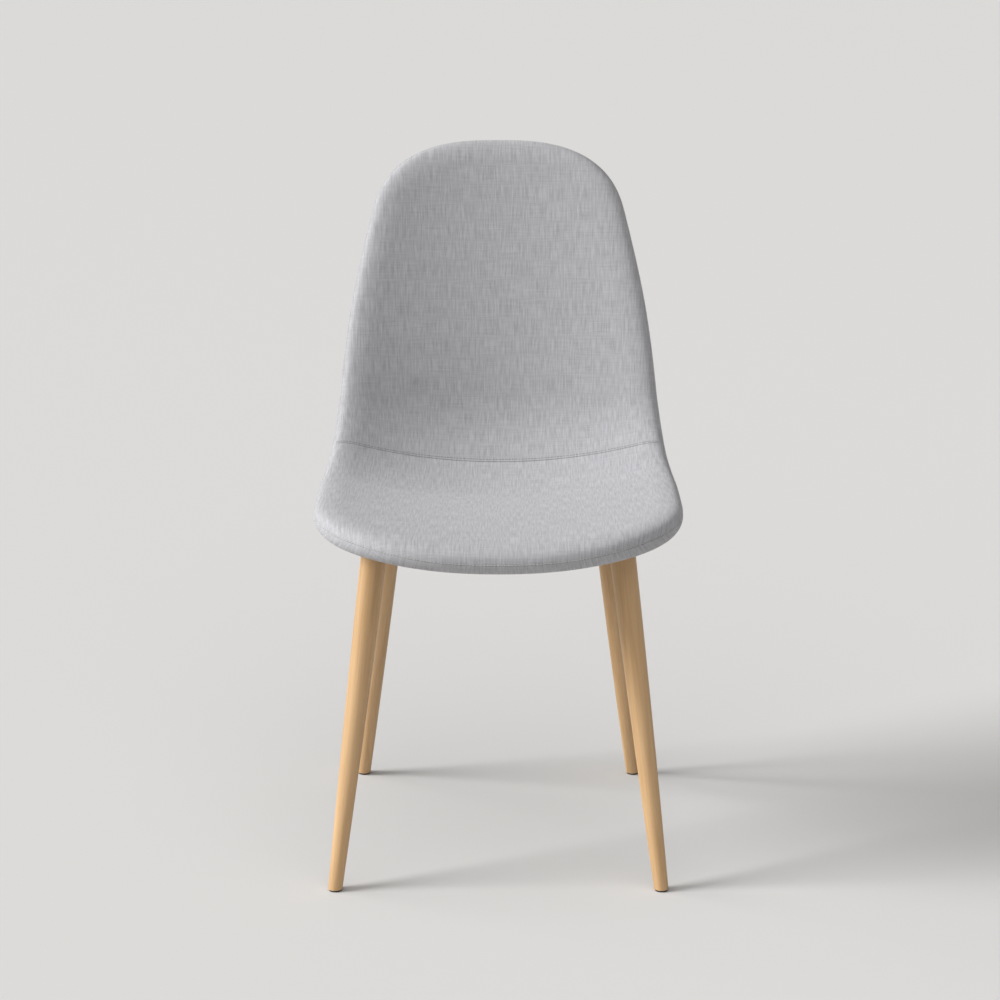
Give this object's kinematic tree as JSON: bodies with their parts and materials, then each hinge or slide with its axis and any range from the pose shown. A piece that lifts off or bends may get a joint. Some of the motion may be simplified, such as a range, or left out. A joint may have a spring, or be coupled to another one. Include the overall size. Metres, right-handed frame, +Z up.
{
  "type": "upholstered side chair",
  "caption": "Armless side chair with a padded fabric scoop seat and back on splayed, tapered round wooden legs.",
  "frame": {"origin": "on the floor, under the middle of the chair's overall box", "axes": "+Z up, -Y the way the sitter faces, +X to the right seen from the front; left and right in the names are seen from the front"},
  "size_m": [0.455, 0.5269, 0.8622],
  "materials": {
    "plywood": "raw moulded plywood",
    "foam": "open-cell foam",
    "listing": "plain cotton tape",
    "upholstery": "light grey linen-look weave",
    "wadding": "fibre wadding",
    "dust_cloth": "black non-woven cloth",
    "frame_paint": "matt black powder coat",
    "spacer_plastic": "moulded black",
    "zinc_steel": "zinc plated",
    "leg_wood": "clear-lacquered light wood, grain along the leg",
    "glide_plastic": "dark moulded"
  },
  "bodies": {
    "root": {"moulded_shell": "plywood", "shell_tee_nuts": "zinc_steel", "seat_foam": "foam", "back_foam": "foam", "waist_listing": "listing", "seat_cover": "upholstery", "inner_back_cover": "upholstery", "outer_wadding": "wadding", "outer_cover": "upholstery", "dust_cover": "dust_cloth", "front_cross_bar": "frame_paint", "rear_cross_bar": "frame_paint", "left_side_rail": "frame_paint", "right_side_rail": "frame_paint", "seat_spacers": "spacer_plastic", "frame_bolts": "zinc_steel", "frame_washers": "zinc_steel", "leg_inserts": "zinc_steel", "leg_bolts": "zinc_steel", "leg_washers": "zinc_steel", "leg_front_left": "leg_wood", "leg_front_right": "leg_wood", "leg_rear_left": "leg_wood", "leg_rear_right": "leg_wood", "glide_front_left": "glide_plastic", "glide_front_right": "glide_plastic", "glide_rear_left": "glide_plastic", "glide_rear_right": "glide_plastic"}
  },
  "joints": []
}
